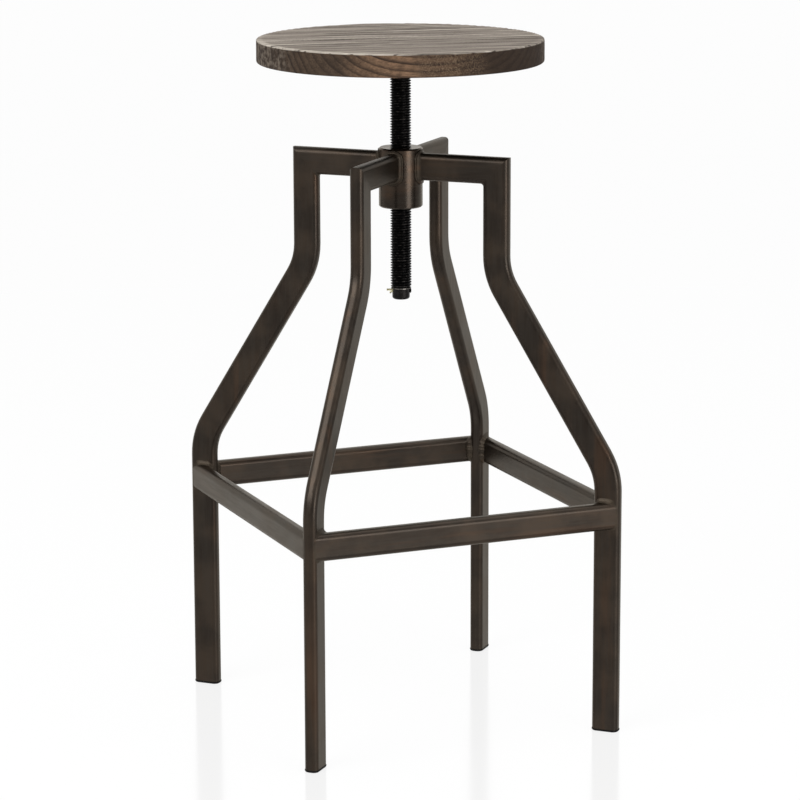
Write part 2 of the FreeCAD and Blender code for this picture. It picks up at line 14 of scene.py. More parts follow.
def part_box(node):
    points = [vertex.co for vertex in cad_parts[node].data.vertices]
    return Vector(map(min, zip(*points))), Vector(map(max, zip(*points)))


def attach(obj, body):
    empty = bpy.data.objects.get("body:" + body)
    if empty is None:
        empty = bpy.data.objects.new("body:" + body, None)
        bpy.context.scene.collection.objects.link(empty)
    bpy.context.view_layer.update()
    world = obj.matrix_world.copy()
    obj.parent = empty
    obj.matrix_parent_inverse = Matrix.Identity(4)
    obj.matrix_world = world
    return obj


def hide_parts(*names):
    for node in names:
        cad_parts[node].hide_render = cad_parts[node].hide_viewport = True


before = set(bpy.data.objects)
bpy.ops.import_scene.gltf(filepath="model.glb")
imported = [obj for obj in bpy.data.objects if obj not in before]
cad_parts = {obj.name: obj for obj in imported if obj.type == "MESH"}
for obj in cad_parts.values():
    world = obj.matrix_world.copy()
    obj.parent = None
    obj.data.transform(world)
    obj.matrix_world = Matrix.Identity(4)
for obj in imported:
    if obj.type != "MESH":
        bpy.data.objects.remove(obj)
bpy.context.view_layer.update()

MM = 0.001
TINY = 1e-6
UP = Vector((0.0, 0.0, 1.0))
LEVEL = (1.0, 1.0, 0.0)
WHITE = (1.0, 1.0, 1.0, 1.0)
NOISE_ROUGHNESS = 0.55
NARROW_STREAKS = 4.0
STREAK_LEVELS = (0.34, 0.66)
WIDE_WAVES = 12.0
LOG = logging.getLogger("bar_stool")

Pair = tuple[float, float]
Colour = tuple[float, float, float, float]
Source = bpy.types.NodeSocket


def tone(red: int, green: int, blue: int) -> Colour:
    """A linear colour from the display levels that it should show as.

    Args:
        red: The red level, from 0 to 255.
        green: The green level.
        blue: The blue level.

    Returns:
        The colour with an alpha of 1.
    """
    parts = (level / 255.0 for level in (red, green, blue))
    flat = (p / 12.92 if p <= 0.04045 else ((p + 0.055) / 1.055) ** 2.4 for p in parts)
    return (*flat, 1.0)


def smooth_step(low: float, high: float, value: float) -> float:
    """0 below low, 1 above high and an even curve between them."""
    share = min(max((value - low) / (high - low), 0.0), 1.0)
    return share * share * (3.0 - 2.0 * share)


class Named(Enum):
    """An option that carries its name in small letters."""

    @property
    def label(self) -> str:
        """The name as pieces, finishes and lamps carry it."""
        return self.name.lower()


class Corner(Named):
    """The legs, by the direction in which each stands from the screw, in degrees."""

    BACK_RIGHT = 45
    BACK_LEFT = 135
    FRONT_LEFT = 225
    FRONT_RIGHT = 315

    @property
    def outward(self) -> Vector:
        """The level direction from the screw to the leg."""
        angle = math.radians(self.value)
        return Vector((math.cos(angle), math.sin(angle), 0.0))


class Side(Named):
    """The stretchers, by their turn about the screw from the front one, in degrees."""

    FRONT = 0
    RIGHT = 90
    BACK = 180
    LEFT = 270


class Lay(Named):
    """Which way a tube was drawn: the turn about the upright, in degrees, and the stretch of its streaks."""

    UPRIGHT = (0.0, (1.0, 1.0, 14.0))
    ALONG_X = (0.0, (14.0, 1.0, 1.0))
    ALONG_Y = (90.0, (14.0, 1.0, 1.0))
    RISING = (45.0, (14.0, 1.0, 1.0))
    FALLING = (135.0, (14.0, 1.0, 1.0))
    ROUND = (0.0, (5.0, 5.0, 1.0))


@dataclass(frozen=True)
class Patches:
    """A mottle: its noise's scale, the noise levels at which it starts and is full, and the noise's detail."""

    scale: float
    low: float
    high: float
    detail: float = 3.0


@dataclass(frozen=True)
class Lines:
    """Streaks: their noise's scale and the share of the narrow ones."""

    scale: float = 1.0
    fine: float = 0.5


@dataclass(frozen=True)
class Skin:
    """A fine bump: its noise's scale, the share of its wide waves and its depth in metres."""

    scale: float
    waves: float
    depth: float


@dataclass(frozen=True)
class Zone:
    """A side of the seat: the way it looks, in degrees, and the cosines at which it starts and is full."""

    towards: float
    low: float
    high: float


class Board:
    """Adds nodes to one tree and joins them."""

    def __init__(self, tree: bpy.types.NodeTree) -> None:
        """Start on the tree of a material, a world or a group, which is emptied."""
        self.tree = tree
        tree.nodes.clear()

    def add(self, kind: str, inputs: dict | None = None, **settings: object) -> bpy.types.Node:
        """Add a node.

        Args:
            kind: The node's type without its leading "ShaderNode".
            inputs: Socket name or number, to a value or to the output that feeds it.
            settings: The node's own properties, which are set before its inputs.

        Returns:
            The new node.
        """
        node = self.tree.nodes.new(kind if kind.startswith("NodeGroup") else f"ShaderNode{kind}")
        for name, value in settings.items():
            setattr(node, name, value)
        for key, value in (inputs or {}).items():
            self.feed(node.inputs[key], value)
        return node

    def feed(self, socket: Source, value: object) -> None:
        """Join an output to a socket, or set the socket's own value.

        Args:
            socket: The socket.
            value: The output or the value.
        """
        if isinstance(value, bpy.types.NodeSocket):
            self.tree.links.new(value, socket)
        else:
            socket.default_value = value

    def calc(self, operation: str, first: object, second: object = 0.0) -> Source:
        """The output of a Math node."""
        return self.add("Math", {0: first, 1: second}, operation=operation).outputs[0]

    def times(self, first: object, second: object) -> Source:
        """The product of two values."""
        return self.calc("MULTIPLY", first, second)

    def mean(self, first: object, second: object) -> Source:
        """The mean of two values."""
        return self.times(self.calc("ADD", first, second), 0.5)

    def step(self, value: object, low: object, high: object) -> Source:
        """A smooth rise from 0 at low to 1 at high."""
        inputs = {"Value": value, "From Min": low, "From Max": high}
        return self.add("MapRange", inputs, interpolation_type="SMOOTHSTEP").outputs["Result"]

    def between(self, share: object, low: float, high: float) -> Source:
        """A value that goes evenly from low to high as share goes from 0 to 1."""
        return self.add("MapRange", {"Value": share, "To Min": low, "To Max": high}).outputs["Result"]

    def mix(self, share: object, first: object, second: object) -> Source:
        """A value that goes from first to second."""
        return self.add("Mix", {0: share, 2: first, 3: second}, data_type="FLOAT").outputs[0]

    def blend(self, share: object, first: object, second: object) -> Source:
        """A colour that goes from first to second."""
        return self.add("Mix", {0: share, 6: first, 7: second}, data_type="RGBA").outputs[2]

    def lay(self, colour: object, over: object, mask: Source, share: float) -> Source:
        """A colour with another one laid over it by a share of a mask."""
        return self.blend(self.times(mask, share), colour, over)

    def cloud(self, place: Source, scale: object, detail: object) -> Source:
        """Plain noise at a place."""
        inputs = {"Vector": place, "Scale": scale, "Detail": detail, "Roughness": NOISE_ROUGHNESS}
        return self.add("TexNoise", inputs).outputs["Fac"]

    def parts(self, place: Source) -> bpy.types.NodeOutputs:
        """The X, Y and Z of a place."""
        return self.add("SeparateXYZ", {"Vector": place}).outputs

    def reach(self, place: Source) -> Source:
        """How far a place lies from the screw's axis."""
        flat = self.add("VectorMath", {0: place, 1: LEVEL}, operation="MULTIPLY").outputs["Vector"]
        return self.add("VectorMath", {0: flat}, operation="LENGTH").outputs["Value"]

    def effect(self, effect: "Effect", place: Source, **values: float) -> Source:
        """A shared effect at a place, with its own values."""
        return self.add("Group", {"Vector": place, **values}, node_tree=effect.group()).outputs[0]

    def mottle(self, place: Source, kind: Patches) -> Source:
        """A mask of soft patches."""
        return self.effect(
            Effect.MOTTLE, place, Scale=kind.scale, Detail=kind.detail, Low=kind.low, High=kind.high
        )

    def streaks(self, place: Source, kind: Lines) -> Source:
        """A mask of fine lines."""
        return self.effect(Effect.STREAKS, place, Scale=kind.scale, Fine=kind.fine)

    def skin(self, place: Source, kind: Skin) -> Source:
        """The height of a fine bump, from 0 to 1."""
        return self.effect(Effect.SKIN, place, Scale=kind.scale, Waves=kind.waves)


class Effect(Enum):
    """The shared effects, each a node group that is built once."""

    MOTTLE = "mottle"
    STREAKS = "streaks"
    SKIN = "skin"

    def group(self) -> bpy.types.NodeTree:
        """The effect's node group, built on its first use.

        Returns:
            The node group.
        """
        made = bpy.data.node_groups.get(self.value)
        if made is None:
            made = bpy.data.node_groups.new(self.value, "ShaderNodeTree")
            {Effect.MOTTLE: build_mottle, Effect.STREAKS: build_streaks, Effect.SKIN: build_skin}[self](made)
        return made


def open_group(
    tree: bpy.types.NodeTree, values: Iterable[str], output: str
) -> tuple[Board, dict[str, Source], Source]:
    """Give a group its sockets.

    Args:
        tree: The empty group.
        values: The names of its plain number inputs. It also gets a Vector input.
        output: The name of its one output.

    Returns:
        The board of the group, its inputs by name and the socket that its result goes to.
    """
    board = Board(tree)
    tree.interface.new_socket(name="Vector", in_out="INPUT", socket_type="NodeSocketVector")
    for name in values:
        tree.interface.new_socket(name=name, in_out="INPUT", socket_type="NodeSocketFloat")
    tree.interface.new_socket(name=output, in_out="OUTPUT", socket_type="NodeSocketFloat")
    inside = board.add("NodeGroupInput")
    result = board.add("NodeGroupOutput")
    return board, {s.name: s for s in inside.outputs if s.name}, result.inputs[output]


def build_mottle(tree: bpy.types.NodeTree) -> None:
    """Soft patches: a mask that is 1 where noise lies above High and 0 below Low.

    Args:
        tree: The empty group.
    """
    board, given, result = open_group(tree, ("Scale", "Detail", "Low", "High"), "Mask")
    grain = board.cloud(given["Vector"], given["Scale"], given["Detail"])
    board.feed(result, board.step(grain, given["Low"], given["High"]))


def build_streaks(tree: bpy.types.NodeTree) -> None:
    """Fine lines on a stretched place: broad streaks with narrow ones on them.

    Args:
        tree: The empty group.
    """
    board, given, result = open_group(tree, ("Scale", "Fine"), "Mask")
    broad = board.cloud(given["Vector"], given["Scale"], 2.0)
    narrow = board.cloud(given["Vector"], board.times(given["Scale"], NARROW_STREAKS), 3.0)
    board.feed(result, board.step(board.mix(given["Fine"], broad, narrow), *STREAK_LEVELS))


def build_skin(tree: bpy.types.NodeTree) -> None:
    """The height of a rolled or coated surface's fine unevenness.

    Args:
        tree: The empty group.
    """
    board, given, result = open_group(tree, ("Scale", "Waves"), "Height")
    grain = board.cloud(given["Vector"], given["Scale"], 2.0)
    waves = board.cloud(given["Vector"], board.calc("DIVIDE", given["Scale"], WIDE_WAVES), 2.0)
    board.feed(result, board.mix(given["Waves"], grain, waves))


class Finish:
    """What every finish shares: a material with a Principled shader and the object's own coordinates."""

    label: str

    def start(self) -> tuple[bpy.types.Material, Board, Source]:
        """A new material.

        Returns:
            The material, its board and the socket of its Object coordinates.
        """
        made = bpy.data.materials.new(self.label)
        made.use_nodes = True
        board = Board(made.node_tree)
        return made, board, board.add("TexCoord").outputs["Object"]

    def close(self, board: Board, inputs: dict, height: Source, depth: float) -> None:
        """Add the shader, its bump and the output.

        Args:
            board: The material's board.
            inputs: The Principled shader's sockets.
            height: The bump's height.
            depth: How far a height of 1 stands out, in metres.
        """
        bump = board.add("Bump", {"Height": height, "Distance": depth, "Strength": 1.0})
        shader = board.add("BsdfPrincipled", {**inputs, "Normal": bump.outputs["Normal"]})
        board.add("OutputMaterial", {"Surface": shader.outputs["BSDF"]})

    def stretched(
        self, board: Board, place: Source, turn: float, scale: Iterable[float] = (1.0, 1.0, 1.0)
    ) -> Source:
        """A place turned about the upright by degrees and then stretched along its own axes."""
        inputs = {"Vector": place, "Rotation": (0.0, 0.0, math.radians(turn)), "Scale": tuple(scale)}
        return board.add("Mapping", inputs, vector_type="TEXTURE").outputs["Vector"]


@dataclass(frozen=True)
class BronzedSteel(Finish):
    """Browned and waxed steel of the frame, with streaks along the tube and rusty patches."""

    label: str
    lay: Lay
    dark: Colour = tone(42, 36, 31)
    brown: Colour = tone(56, 47, 39)
    rust: Colour = tone(78, 57, 42)
    grey: Colour = tone(56, 52, 47)
    sheen: Colour = (1.0, 0.96, 0.89, 1.0)
    clouds: Patches = Patches(22.0, 0.36, 0.66)
    rusty: Patches = Patches(54.0, 0.55, 0.78, 4.0)
    lines: Lines = Lines(140.0, 0.45)
    skin: Skin = Skin(700.0, 0.55, 0.02 * MM)
    metal: float = 0.95
    wax: float = 0.05
    wax_roughness: float = 0.25
    gloss: Pair = (0.31, 0.45)

    def material(self) -> bpy.types.Material:
        """Build the finish.

        Returns:
            The material.
        """
        made, board, place = self.start()
        run = self.stretched(board, place, *self.lay.value)
        clouds = board.mottle(place, self.clouds)
        lines = board.streaks(run, self.lines)
        colour = board.blend(clouds, self.dark, self.brown)
        colour = board.lay(colour, self.grey, lines, share=0.35)
        colour = board.lay(colour, self.rust, board.mottle(run, self.rusty), share=0.45)
        shader = {
            "Base Color": colour,
            "Metallic": self.metal,
            "Roughness": board.between(board.mean(lines, clouds), *self.gloss),
            "Specular Tint": self.sheen,
            "Coat Weight": self.wax,
            "Coat Roughness": self.wax_roughness,
        }
        self.close(board, shader, board.skin(place, self.skin), self.skin.depth)
        return made


@dataclass(frozen=True)
class BlackThread(Finish):
    """Blackened steel of the screw: crests a little lighter, partly as wear and partly as painted glints, and a
    plain grey end.
    """

    label: str = "blackened_screw"
    black: Colour = tone(14, 13, 13)
    # lighter grey of the crests: partly real wear and partly painted glints
    worn_and_highlit: Colour = tone(70, 66, 63)
    end: Colour = tone(36, 34, 33)
    crest: Pair = (11.3 * MM, 12.0 * MM)
    end_heights: Pair = (499.8 * MM, 499.2 * MM)
    end_share: Pair = (0.5, 1.0)
    worn: Patches = Patches(260.0, 0.45, 0.75)
    skin: Skin = Skin(1500.0, 0.4, 0.02 * MM)
    metal: float = 0.95
    gloss: Pair = (0.38, 0.55)

    def material(self) -> bpy.types.Material:
        """Build the finish.

        Returns:
            The material.
        """
        made, board, place = self.start()
        worn = board.mottle(place, self.worn)
        # the thread's crests, lighter in worn patches: partly real wear and partly painted glints
        crest = board.times(board.step(board.reach(place), *self.crest), worn)
        plain = board.step(board.parts(place)["Z"], *self.end_heights)
        colour = board.blend(crest, self.black, self.worn_and_highlit)
        colour = board.blend(board.times(plain, board.between(worn, *self.end_share)), colour, self.end)
        shader = {"Base Color": colour, "Metallic": self.metal, "Roughness": board.between(worn, *self.gloss)}
        self.close(board, shader, board.skin(place, self.skin), self.skin.depth)
        return made


@dataclass(frozen=True)
class PlainMetal(Finish):
    """A small metal piece: one metal with a duller, darker film in patches and fine lines on it."""

    label: str
    bright: Colour
    dull: Colour
    gloss: Pair = (0.25, 0.5)
    metal: float = 0.95
    film: Patches = Patches(180.0, 0.42, 0.64)
    lines: Lines = Lines(600.0, 0.5)
    skin: Skin = Skin(1600.0, 0.3, 0.015 * MM)

    def material(self) -> bpy.types.Material:
        """Build the finish.

        Returns:
            The material.
        """
        made, board, place = self.start()
        run = self.stretched(board, place, *Lay.ROUND.value)
        film = board.mottle(place, self.film)
        colour = board.blend(film, self.bright, self.dull)
        rough = board.between(board.mean(film, board.streaks(run, self.lines)), *self.gloss)
        shader = {"Base Color": colour, "Metallic": self.metal, "Roughness": rough}
        self.close(board, shader, board.skin(run, self.skin), self.skin.depth)
        return made


@dataclass(frozen=True)
class PinMetal(Finish):
    """The stop pin: yellow metal at its split end, and blackened at its head."""

    label: str = "stop_pin_metal"
    yellow: Colour = tone(212, 206, 168)
    tarnish: Colour = tone(150, 142, 100)
    black: Colour = tone(20, 18, 17)
    turn: float = 157.4
    yellow_from: Pair = (9.0 * MM, 10.0 * MM)
    film: Patches = Patches(420.0, 0.4, 0.7)
    skin: Skin = Skin(1800.0, 0.5, 0.01 * MM)
    metal: float = 0.9
    gloss: Pair = (0.28, 0.5)

    def material(self) -> bpy.types.Material:
        """Build the finish.

        Returns:
            The material.
        """
        made, board, place = self.start()
        along = board.parts(self.stretched(board, place, self.turn))["X"]
        film = board.mottle(place, self.film)
        bare = board.blend(film, self.yellow, self.tarnish)
        colour = board.blend(board.step(along, *self.yellow_from), self.black, bare)
        shader = {"Base Color": colour, "Metallic": self.metal, "Roughness": board.between(film, *self.gloss)}
        self.close(board, shader, board.skin(place, self.skin), self.skin.depth)
        return made


@dataclass(frozen=True)
class MouldedPlastic(Finish):
    """Black moulded plastic of the foot plugs, scuffed towards the floor."""

    label: str = "foot_plug_plastic"
    black: Colour = tone(10, 9, 9)
    scuffed: Colour = tone(32, 30, 29)
    scuff_height: float = 2.2 * MM
    marks: Patches = Patches(320.0, 0.46, 0.66)
    skin: Skin = Skin(2200.0, 0.2, 0.03 * MM)
    shine: float = 0.1
    gloss: Pair = (0.48, 0.66)

    def material(self) -> bpy.types.Material:
        """Build the finish.

        Returns:
            The material.
        """
        made, board, place = self.start()
        marks = board.mottle(place, self.marks)
        scuff = board.times(board.step(board.parts(place)["Z"], self.scuff_height, 0.0), marks)
        shader = {
            "Base Color": board.blend(scuff, self.black, self.scuffed),
            "Roughness": board.between(marks, *self.gloss),
            "Specular IOR Level": self.shine,
        }
        self.close(board, shader, board.skin(place, self.skin), self.skin.depth)
        return made


@dataclass(frozen=True)
class BrushedWood(Finish):
    """Stained softwood, wire-brushed and greyed on top partly by weathering and partly as painted sheen, with
    painted light and shade on its rim and its growth rings from the piece's own attribute.
    """

    label: str
    grain_turn: float
    ring_attribute: str
    ring_width: float
    top: float
    radius: float
    early: Colour = tone(76, 62, 50)
    # painted light: the lighter, warmer brown of the rim's lit side
    painted_lit_brown: Colour = tone(121, 95, 74)
    late: Colour = tone(40, 31, 25)
    dark: Colour = tone(34, 27, 22)
    # the top's pale grey: partly weathering and partly painted sheen and light
    weathered: Colour = tone(163, 154, 144)
    shaded: Colour = tone(80, 70, 61)
    pale: Colour = tone(206, 197, 184)
    speck: Colour = tone(142, 120, 97)
    # grey of the rim's end grain: partly weathering and partly a painted grazing sheen
    end_grain_sheen_grey: Colour = tone(116, 106, 95)
    end_dark: Colour = tone(48, 40, 34)
    # painted light: the rim's side that is laid in a lighter, warmer brown
    painted_lit_side: Zone = Zone(-106.0, 0.84, 0.985)
    # painted shade: the rim's side that is laid darker
    painted_shade_side: Zone = Zone(-62.0, 0.8, 0.95)
    speck_side: Zone = Zone(-92.0, 0.955, 0.99)
    # painted highlight: the side on which the top's edge band is laid palest
    highlit_side: Zone = Zone(-155.0, 0.55, 0.95)
    end_grain_and_sheen: Pair = (0.84, 0.97)
    stain: Patches = Patches(10.0, 0.4, 0.62, 4.0)
    grime: Patches = Patches(85.0, 0.45, 0.66, 5.0)
    flakes: Patches = Patches(190.0, 0.4, 0.62, 6.0)
    speckle: Patches = Patches(1000.0, 0.5, 0.62, 2.0)
    crack: Patches = Patches(1.0, 0.57, 0.62)
    split: Patches = Patches(1.0, 0.6, 0.63)
    ridge: Patches = Patches(1.0, 0.57, 0.66)
    pores: Patches = Patches(1.7, 0.64, 0.72, 2.0)
    knocks: Patches = Patches(55.0, 0.56, 0.68, 6.0)
    late_from: Pair = (0.35, 0.93)
    late_until: Pair = (1.0, 0.95)
    late_share: Pair = (0.35, 0.95)
    # painted highlight: the ring along which a pale line is laid on the top, and that line's width
    highlight_ring: float = 199.8
    highlight_ring_width: Pair = (3.2, 1.0)
    # the top's pale edge band: partly wear all round and partly a painted highlight
    worn_and_highlit_edge: Pair = (9.0 * MM, 4.0 * MM)
    worn_and_highlit_share: Pair = (0.15, 0.75)
    face_depth: Pair = (2.0 * MM, 0.9 * MM)
    knock_depth: Pair = (4.5 * MM, 1.5 * MM)
    knock_reach: Pair = (5.0 * MM, 2.0 * MM)
    bump_depth: float = 0.35 * MM
    shine: float = 0.12
    gloss: Pair = (0.7, 0.88)

    def towards(self, board: Board, place: Source, angle: float) -> Source:
        """How squarely a place on the seat looks in a direction.

        Args:
            board: The material's board.
            place: The Object coordinates.
            angle: The direction, in degrees.

        Returns:
            1 on the side that looks that way, and -1 on the far side.
        """
        turned = self.stretched(board, place, angle)
        flat = board.add("VectorMath", {0: turned, 1: LEVEL}, operation="MULTIPLY").outputs["Vector"]
        unit = board.add("VectorMath", {0: flat}, operation="NORMALIZE").outputs["Vector"]
        return board.parts(unit)["X"]

    def side(self, board: Board, place: Source, zone: Zone) -> Source:
        """The mask of one side of the seat."""
        return board.step(self.towards(board, place, zone.towards), zone.low, zone.high)

    def grain(self, board: Board, place: Source, length: float, width: float) -> Source:
        """A place on which noise of scale 1 has streaks of a length and width, in millimetres, along the grain."""
        return self.stretched(board, place, self.grain_turn, (length * MM, width * MM, width * MM))

    def rim(self, board: Board, place: Source, late: Source, fibre: Source) -> Source:
        """The rim's colour: growth rings on brown wood, with a painted lit side in a lighter, warmer brown, a
        painted shaded side, and grey, mottled end grain that is partly a painted grazing sheen.

        Args:
            board: The material's board.
            place: The Object coordinates.
            late: The mask of the late wood.
            fibre: The mask of the fine fibre.

        Returns:
            The colour.
        """
        # painted light: the rim's side that looks towards -106 degrees is laid in a lighter, warmer brown
        colour = board.blend(self.side(board, place, self.painted_lit_side), self.early, self.painted_lit_brown)
        colour = board.blend(late, colour, self.late)
        colour = board.lay(colour, self.dark, fibre, share=0.35)
        colour = board.lay(colour, self.late, board.mottle(place, self.grime), share=0.4)
        stain = board.mottle(self.grain(board, place, length=120.0, width=18.0), self.stain)
        # painted shade on the rim's side that looks towards -62 degrees, joined with real stains along the grain,
        # laid in the late wood's dark brown
        painted_shade_and_stain = board.calc("MAXIMUM", self.side(board, place, self.painted_shade_side), board.times(stain, 0.5))
        colour = board.lay(colour, self.late, painted_shade_and_stain, share=0.7)
        flakes = board.times(board.mottle(place, self.flakes), board.between(late, low=1.0, high=0.45))
        # the rim's ends along the grain: real end grain, mottled between dark and grey, whose lighter grey is
        # partly a painted grazing sheen
        end = board.step(board.calc("ABSOLUTE", self.towards(board, place, self.grain_turn)), *self.end_grain_and_sheen)
        colour = board.lay(colour, board.blend(flakes, self.end_dark, self.end_grain_sheen_grey), end, share=0.7)
        specked = self.side(board, place, self.speck_side)
        colour = board.lay(colour, self.late, specked, share=0.5)
        specks = board.times(board.mottle(place, self.speckle), specked)
        return board.lay(colour, self.speck, specks, share=0.42)

    def face(
        self, board: Board, place: Source, ring: Source, late: Source, fibre: Source
    ) -> tuple[Source, Source]:
        """The top's colour: grey streaks of many widths on a grey that is partly weathering and partly painted
        sheen, dark cracks, pale ridges, a painted highlight line along one ring, and an edge band that is partly
        wear and partly a painted highlight.

        Args:
            board: The material's board.
            place: The Object coordinates.
            ring: The distance from the tree's middle, in millimetres.
            late: The mask of the late wood.
            fibre: The mask of the fine fibre.

        Returns:
            The colour and the mask of the cracks.
        """
        bands = board.streaks(self.grain(board, place, length=520.0, width=9.0), Lines())
        ridge = board.mottle(self.grain(board, place, length=330.0, width=8.0), self.ridge)
        crack = board.mottle(self.grain(board, place, length=200.0, width=10.0), self.crack)
        split = board.mottle(self.grain(board, place, length=230.0, width=4.5), self.split)
        # the top's grey is partly weathering and partly painted sheen and light
        colour = board.lay(self.weathered, self.shaded, bands, share=0.7)
        colour = board.lay(colour, self.shaded, late, share=0.3)
        colour = board.lay(colour, self.shaded, fibre, share=0.4)
        colour = board.lay(colour, self.pale, ridge, share=0.6)
        # painted highlight: a pale line along one growth ring on the top
        line = board.step(board.calc("ABSOLUTE", board.calc("SUBTRACT", ring, self.highlight_ring)), *self.highlight_ring_width)
        # the outer band of the top: partly wear all round, and a painted highlight that is strongest on the side
        # looking towards -155 degrees
        worn_and_highlit = board.step(board.reach(place), *(self.radius - inset for inset in self.worn_and_highlit_edge))
        side = self.side(board, place, self.highlit_side)
        worn_and_highlit = board.times(worn_and_highlit, board.between(side, *self.worn_and_highlit_share))
        colour = board.lay(colour, self.pale, board.calc("MAXIMUM", line, worn_and_highlit), share=0.7)
        crack = board.calc("MAXIMUM", board.times(crack, 0.8), split)
        return board.lay(colour, self.late, crack, share=0.85), crack

    def material(self) -> bpy.types.Material:
        """Build the finish.

        Returns:
            The material.
        """
        made, board, place = self.start()
        ring = board.add("Attribute", None, attribute_name=self.ring_attribute).outputs["Fac"]
        turns = board.calc("DIVIDE", ring, self.ring_width)
        share = board.calc("FRACT", turns)
        late = board.times(board.step(share, *self.late_from), board.step(share, *self.late_until))
        number = board.calc("FLOOR", turns)
        each = board.add("TexWhiteNoise", {"W": number}, noise_dimensions="1D").outputs["Value"]
        late = board.times(late, board.between(each, *self.late_share))
        thread = self.grain(board, place, length=55.0, width=1.1)
        fibre = board.streaks(thread, Lines())
        pore = board.mottle(thread, self.pores)
        height = board.parts(place)["Z"]
        on_top = board.step(height, *(self.top - depth for depth in self.face_depth))
        face, crack = self.face(board, place, ring, late, fibre)
        # the top, laid over the rim in its paler grey that is partly painted sheen
        colour = board.blend(on_top, self.rim(board, place, late, fibre), face)
        high = board.step(height, *(self.top - depth for depth in self.knock_depth))
        outer = board.step(board.reach(place), *(self.radius - inset for inset in self.knock_reach))
        knocks = board.times(board.times(high, board.mottle(place, self.knocks)), outer)
        colour = board.lay(colour, self.dark, knocks, share=0.5)
        colour = board.lay(colour, self.dark, pore, share=0.6)
        raised = board.times(board.calc("ADD", fibre, board.calc("MAXIMUM", pore, crack)), -0.6)
        raised = board.calc("ADD", raised, board.times(late, 0.3))
        shader = {
            "Base Color": colour,
            "Roughness": board.between(fibre, *self.gloss),
            "Specular IOR Level": self.shine,
        }
        self.close(board, shader, raised, self.bump_depth)
        return made


@dataclass(frozen=True)
class Station:
    """One place along a weld: its root in the notch, a toe on each piece and how hollow its face is."""

    root: Vector
    toe: Vector
    other_toe: Vector
    hollow: float = 3.2

    def grown(self, share: float) -> "Station":
        """The same place with both toes moved out from the root by a share."""
        toe, other_toe = (self.root.lerp(end, share) for end in (self.toe, self.other_toe))
        return Station(self.root, toe, other_toe, self.hollow)

    def place(self, ahead: Vector) -> Matrix:
        """The matrix that lays a weld's plain section here.

        Args:
            ahead: The way along the seam.

        Returns:
            A matrix whose first two axes reach from the root to the toes.
        """
        axes = Matrix((self.toe - self.root, self.other_toe - self.root, ahead)).transposed().to_4x4()
        return Matrix.Translation(self.root) @ axes


def new_piece(name: str, bm: bmesh.types.BMesh, material: bpy.types.Material, body: str) -> bpy.types.Object:
    """Make a smooth-shaded piece that rides on a body.

    Args:
        name: The piece's name.
        bm: Its mesh, which is freed.
        material: Its finish.
        body: The body that it moves with.

    Returns:
        The new object.
    """
    mesh = bpy.data.meshes.new(name)
    bm.to_mesh(mesh)
    bm.free()
    mesh.shade_smooth()
    mesh.materials.append(material)
    made = bpy.data.objects.new(name, mesh)
    bpy.context.scene.collection.objects.link(made)
    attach(made, body)
    LOG.info("%s: %d faces on %s", name, len(mesh.polygons), body)
    return made


def dress(names: Iterable[str], material: bpy.types.Material) -> None:
    """Give a finish to CAD nodes.

    Args:
        names: The nodes.
        material: The finish.
    """
    for name in names:
        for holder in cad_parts[name].material_slots:
            holder.material = material
        LOG.info("%s: %s", name, material.name)


def rounded_loop(width: float, height: float, corner: float, pace: float) -> list[Vector]:
    """The outline of a tube's section, with points about a pace apart.

    Args:
        width: The section's size across.
        height: The section's size up.
        corner: The radius of its corners.
        pace: The wanted distance between points.

    Returns:
        The outline's points in order, in the XY plane round the origin.
    """
    bm = bmesh.new()
    bmesh.ops.create_grid(bm, x_segments=1, y_segments=1, size=0.5)
    bmesh.ops.scale(bm, vec=(width, height, 1.0), verts=bm.verts[:])
    bends = max(2, round(corner * math.pi / 2.0 / pace))
    bmesh.ops.bevel(
        bm,
        geom=bm.verts[:],
        offset=corner,
        offset_type="OFFSET",
        affect="VERTICES",
        segments=bends,
        profile=0.5,
        material=-1,
    )
    bmesh.ops.delete(bm, geom=bm.faces[:], context="FACES_ONLY")
    for edge in [e for e in bm.edges if e.calc_length() > 1.5 * pace]:
        bmesh.ops.subdivide_edges(bm, edges=[edge], cuts=max(1, round(edge.calc_length() / pace) - 1))
    bm.verts.ensure_lookup_table()
    first = bm.verts[0]
    edge, here, points = first.link_edges[0], first, []
    while not points or here is not first:
        points.append(here.co.copy())
        here = edge.other_vert(here)
        edge = next(e for e in here.link_edges if e is not edge)
    bm.free()
    turning = sum((a.x * b.y - a.y * b.x) for a, b in zip(points, points[1:] + points[:1]))
    return points if turning > 0.0 else points[::-1]


def outward_normals(points: list[Vector]) -> list[Vector]:
    """Find the normals of an outline.

    Args:
        points: The outline's points, counter-clockwise in the XY plane.

    Returns:
        The outward normal at each point.
    """
    found = []
    for i, _ in enumerate(points):
        ahead = points[(i + 1) % len(points)] - points[i - 1]
        found.append(Vector((ahead.y, -ahead.x, 0.0)).normalized())
    return found


def grow_loop(
    bm: bmesh.types.BMesh, edges: list[bmesh.types.BMEdge]
) -> tuple[list[bmesh.types.BMVert], list[bmesh.types.BMEdge]]:
    """Extrude a loop of edges in place.

    Args:
        bm: The mesh.
        edges: The loop.

    Returns:
        The new loop's vertices and edges.
    """
    grown = bmesh.ops.extrude_edge_only(bm, edges=edges)["geom"]
    verts = [g for g in grown if isinstance(g, bmesh.types.BMVert)]
    new = set(verts)
    return verts, [g for g in grown if isinstance(g, bmesh.types.BMEdge) and set(g.verts) <= new]


@dataclass(frozen=True)
class Wander:
    """How growth rings wander: by how much, and how fast along, across and up the wood."""

    size: float
    along: float
    across: float
    up: float = 0.0
    start: float = 0.0

    def at(self, along: float, across: float, up: float) -> float:
        """The wander at a place in the wood."""
        place = Vector((along * self.along, across * self.across, up * self.up + self.start))
        return self.size * noise.noise(place)


